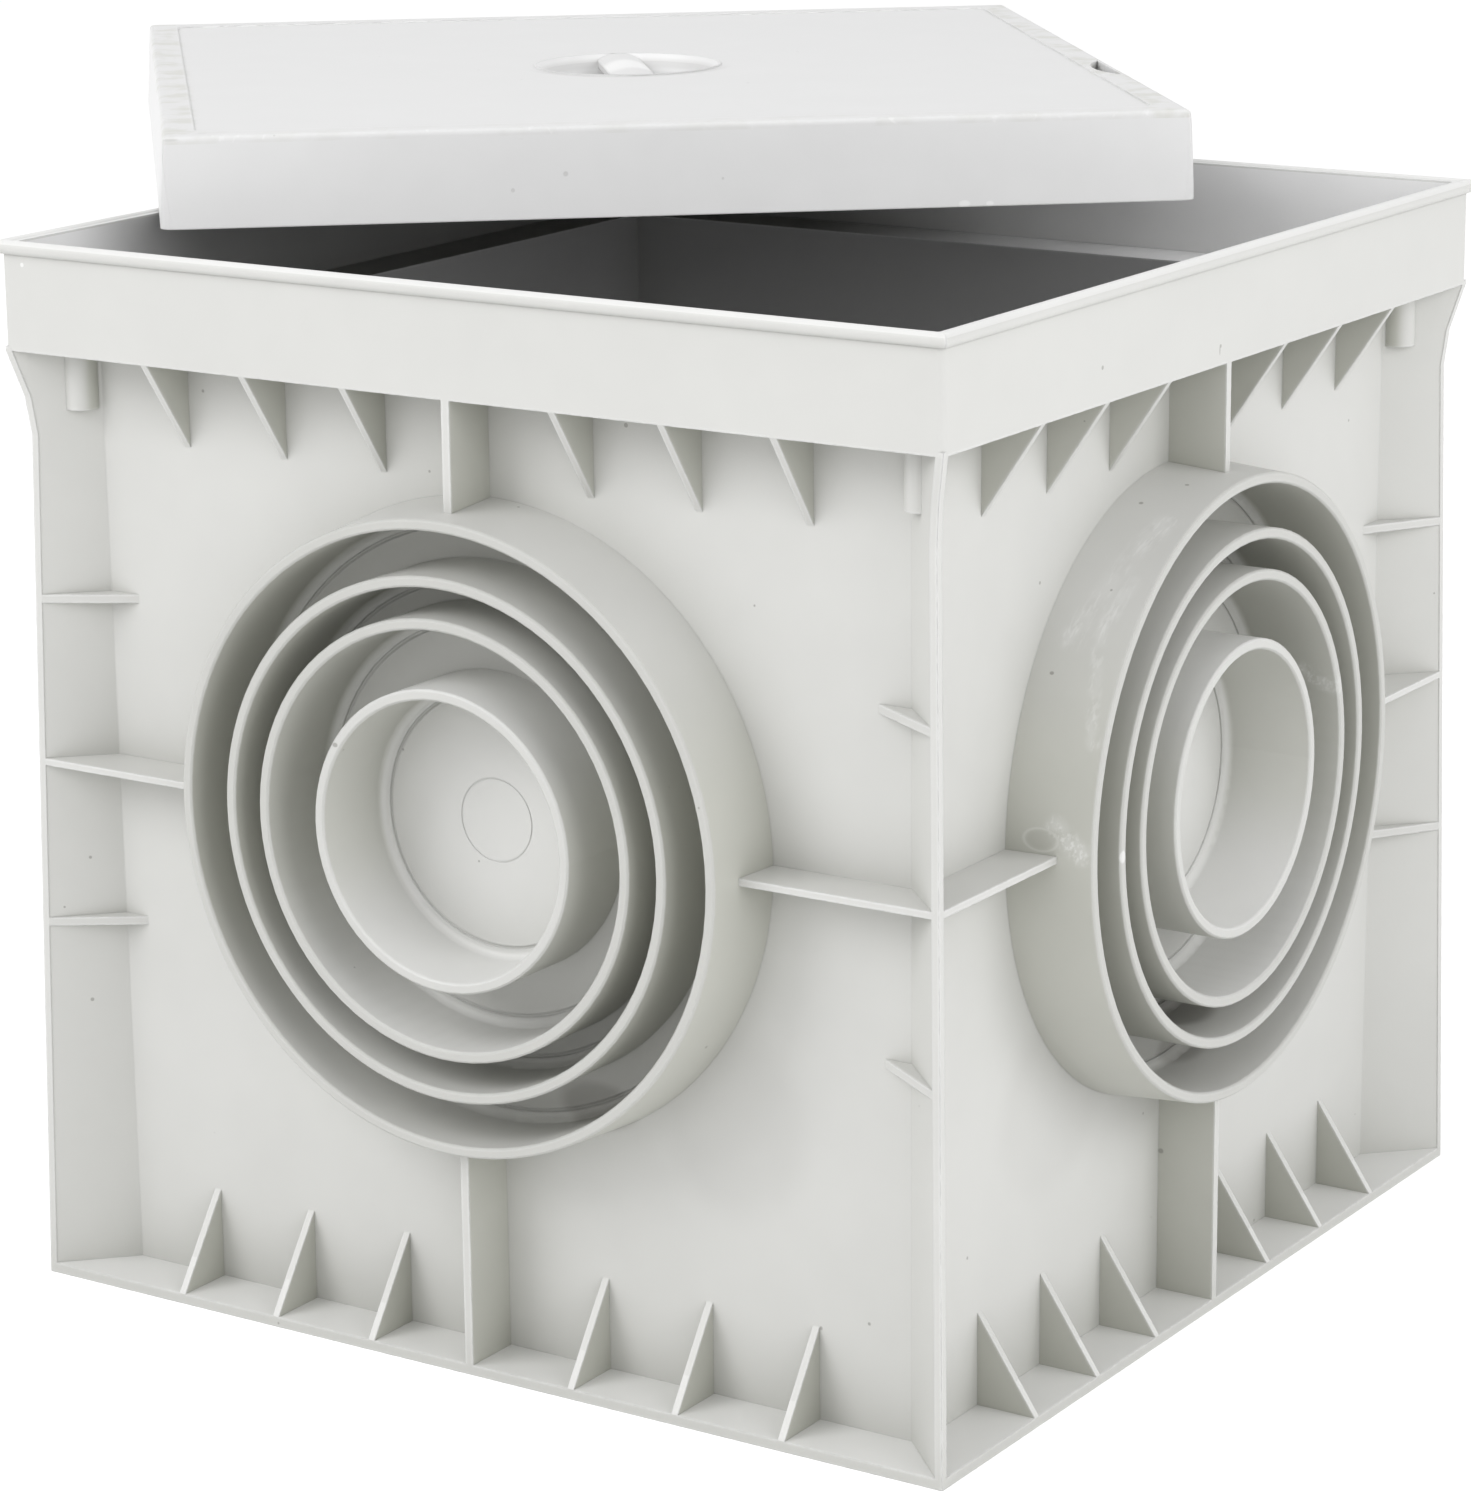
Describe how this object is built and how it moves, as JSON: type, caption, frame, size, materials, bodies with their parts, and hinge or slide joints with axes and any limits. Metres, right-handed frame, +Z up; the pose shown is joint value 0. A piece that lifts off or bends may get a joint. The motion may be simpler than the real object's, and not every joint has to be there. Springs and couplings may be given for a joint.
{
  "type": "drain inspection chamber",
  "caption": "Square moulded drain chamber with concentric knock-out pipe rings on each side, finned corners, a rimmed collar and a ribbed lid lying loose and turned across the rim.",
  "frame": {"origin": "centre of the foot's underside", "axes": "+Z up, +X through the right-hand ring socket, +Y through the back ring socket"},
  "size_m": [0.3074, 0.297, 0.2157],
  "materials": {
    "chamber_plastic": "light warm grey injection moulded polypropylene, satin, with pale scuffs",
    "lid_plastic": "near-white injection moulded polypropylene, satin"
  },
  "bodies": {
    "root": {"chamber": "chamber_plastic", "lid": "lid_plastic"}
  },
  "joints": []
}
